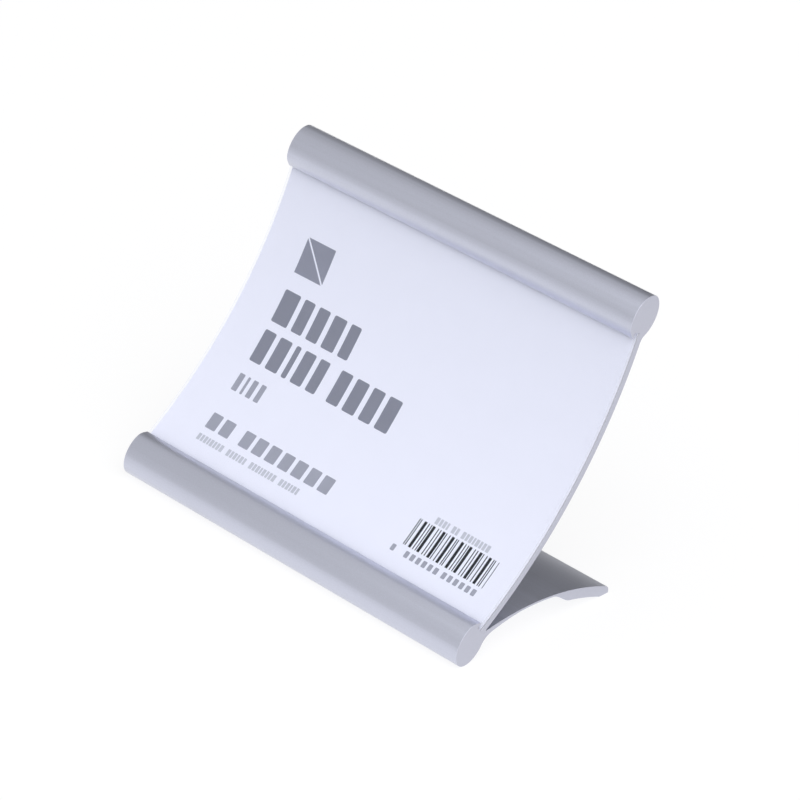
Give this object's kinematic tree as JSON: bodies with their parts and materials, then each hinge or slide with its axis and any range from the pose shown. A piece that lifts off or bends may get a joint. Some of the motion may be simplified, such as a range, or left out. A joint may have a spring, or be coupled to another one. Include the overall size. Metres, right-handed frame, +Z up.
{
  "type": "table sign holder",
  "caption": "Free-standing curved metal sign holder: rounded top and bottom edges grip a slide-in printed card under a clear cover, and an arched rear leg props it up.",
  "frame": {"origin": "centre of the bounding box's bottom, on the surface that the holder stands on", "axes": "+X along the width, +Y from the card's face towards the leg's foot, +Z up"},
  "size_m": [0.07, 0.0372, 0.0499],
  "materials": {
    "anodised_aluminium": "satin anodised, fine lines along the extrusion, saw-cut ends",
    "card_stock": "smooth white card with grey and black print",
    "clear_film": "clear flexible film"
  },
  "bodies": {
    "frame": {"extruded_frame": "anodised_aluminium"},
    "card": {"sign_card": "card_stock"},
    "cover": {"clear_cover": "clear_film"}
  },
  "joints": [
    {"name": "card_slide", "type": "slide", "parent": "frame", "child": "card", "axis": [1, 0, 0], "range_m": [-0.072, 0.072]},
    {"name": "cover_slide", "type": "slide", "parent": "frame", "child": "cover", "axis": [1, 0, 0], "range_m": [-0.072, 0.072]}
  ]
}
